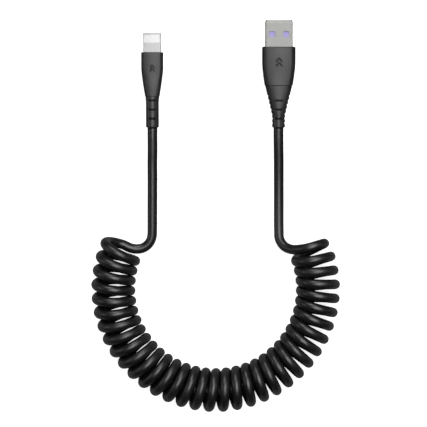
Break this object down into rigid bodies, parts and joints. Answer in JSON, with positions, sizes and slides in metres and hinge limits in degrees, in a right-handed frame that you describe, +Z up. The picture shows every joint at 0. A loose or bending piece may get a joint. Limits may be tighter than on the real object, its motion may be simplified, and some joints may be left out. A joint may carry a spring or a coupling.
{
  "type": "charging cable",
  "caption": "Coiled charging cable: a flat rectangular charger plug and a small oval phone plug, each in a tapered housing with a slotted strain relief, on a spring-coiled cord.",
  "frame": {"origin": "on the surface the cable lies on, midway between the two plugs: the centre of the plugs' box, at its base", "axes": "+Z up out of the surface; +Y the way both plugs point; +X from the phone plug to the charger plug"},
  "size_m": [0.1146, 0.1804, 0.0204],
  "materials": {
    "shell_steel": "nickel-plated sheet steel, satin",
    "tip_steel": "bright drawn stainless steel, satin",
    "tongue_plastic": "moulded lilac thermoplastic",
    "contact_gold": "gold-flashed copper alloy",
    "can_steel": "tin-plated steel sheet",
    "housing_tpe": "black moulded plastic, fine matt texture",
    "relief_tpe": "soft black moulded elastomer",
    "cord_jacket": "extruded black elastomer jacket, satin",
    "inner_mould_plastic": "natural polyethylene pre-mould",
    "block_plastic": "moulded black insulator",
    "spring_steel": "stainless spring steel",
    "board_laminate": "green glass-epoxy laminate",
    "resistor_ceramic": "black ceramic chip",
    "solder_tin": "reflowed tin solder",
    "wire_red": "red insulation",
    "wire_white": "white insulation",
    "wire_green": "green insulation",
    "wire_black": "black insulation"
  },
  "bodies": {
    "root": {"charger_shell": "shell_steel", "charger_tongue": "tongue_plastic", "charger_power_contact": "contact_gold", "charger_data_minus_contact": "contact_gold", "charger_data_plus_contact": "contact_gold", "charger_ground_contact": "contact_gold", "charger_rear_can": "can_steel", "charger_red_wire": "wire_red", "charger_white_wire": "wire_white", "charger_green_wire": "wire_green", "charger_black_wire": "wire_black", "charger_solder_joints": "solder_tin", "charger_inner_mould": "inner_mould_plastic", "charger_housing": "housing_tpe", "charger_strain_relief": "relief_tpe", "phone_shell": "tip_steel", "phone_contact_block": "block_plastic", "phone_upper_contacts": "contact_gold", "phone_lower_contacts": "contact_gold", "phone_latch_springs": "spring_steel", "phone_board": "board_laminate", "phone_resistor": "resistor_ceramic", "phone_rear_can": "can_steel", "phone_red_wire": "wire_red", "phone_white_wire": "wire_white", "phone_green_wire": "wire_green", "phone_black_wire": "wire_black", "phone_solder_joints": "solder_tin", "phone_inner_mould": "inner_mould_plastic", "phone_housing": "housing_tpe", "phone_strain_relief": "relief_tpe", "charger_lead": "cord_jacket", "coil": "cord_jacket", "phone_lead": "cord_jacket"}
  },
  "joints": []
}
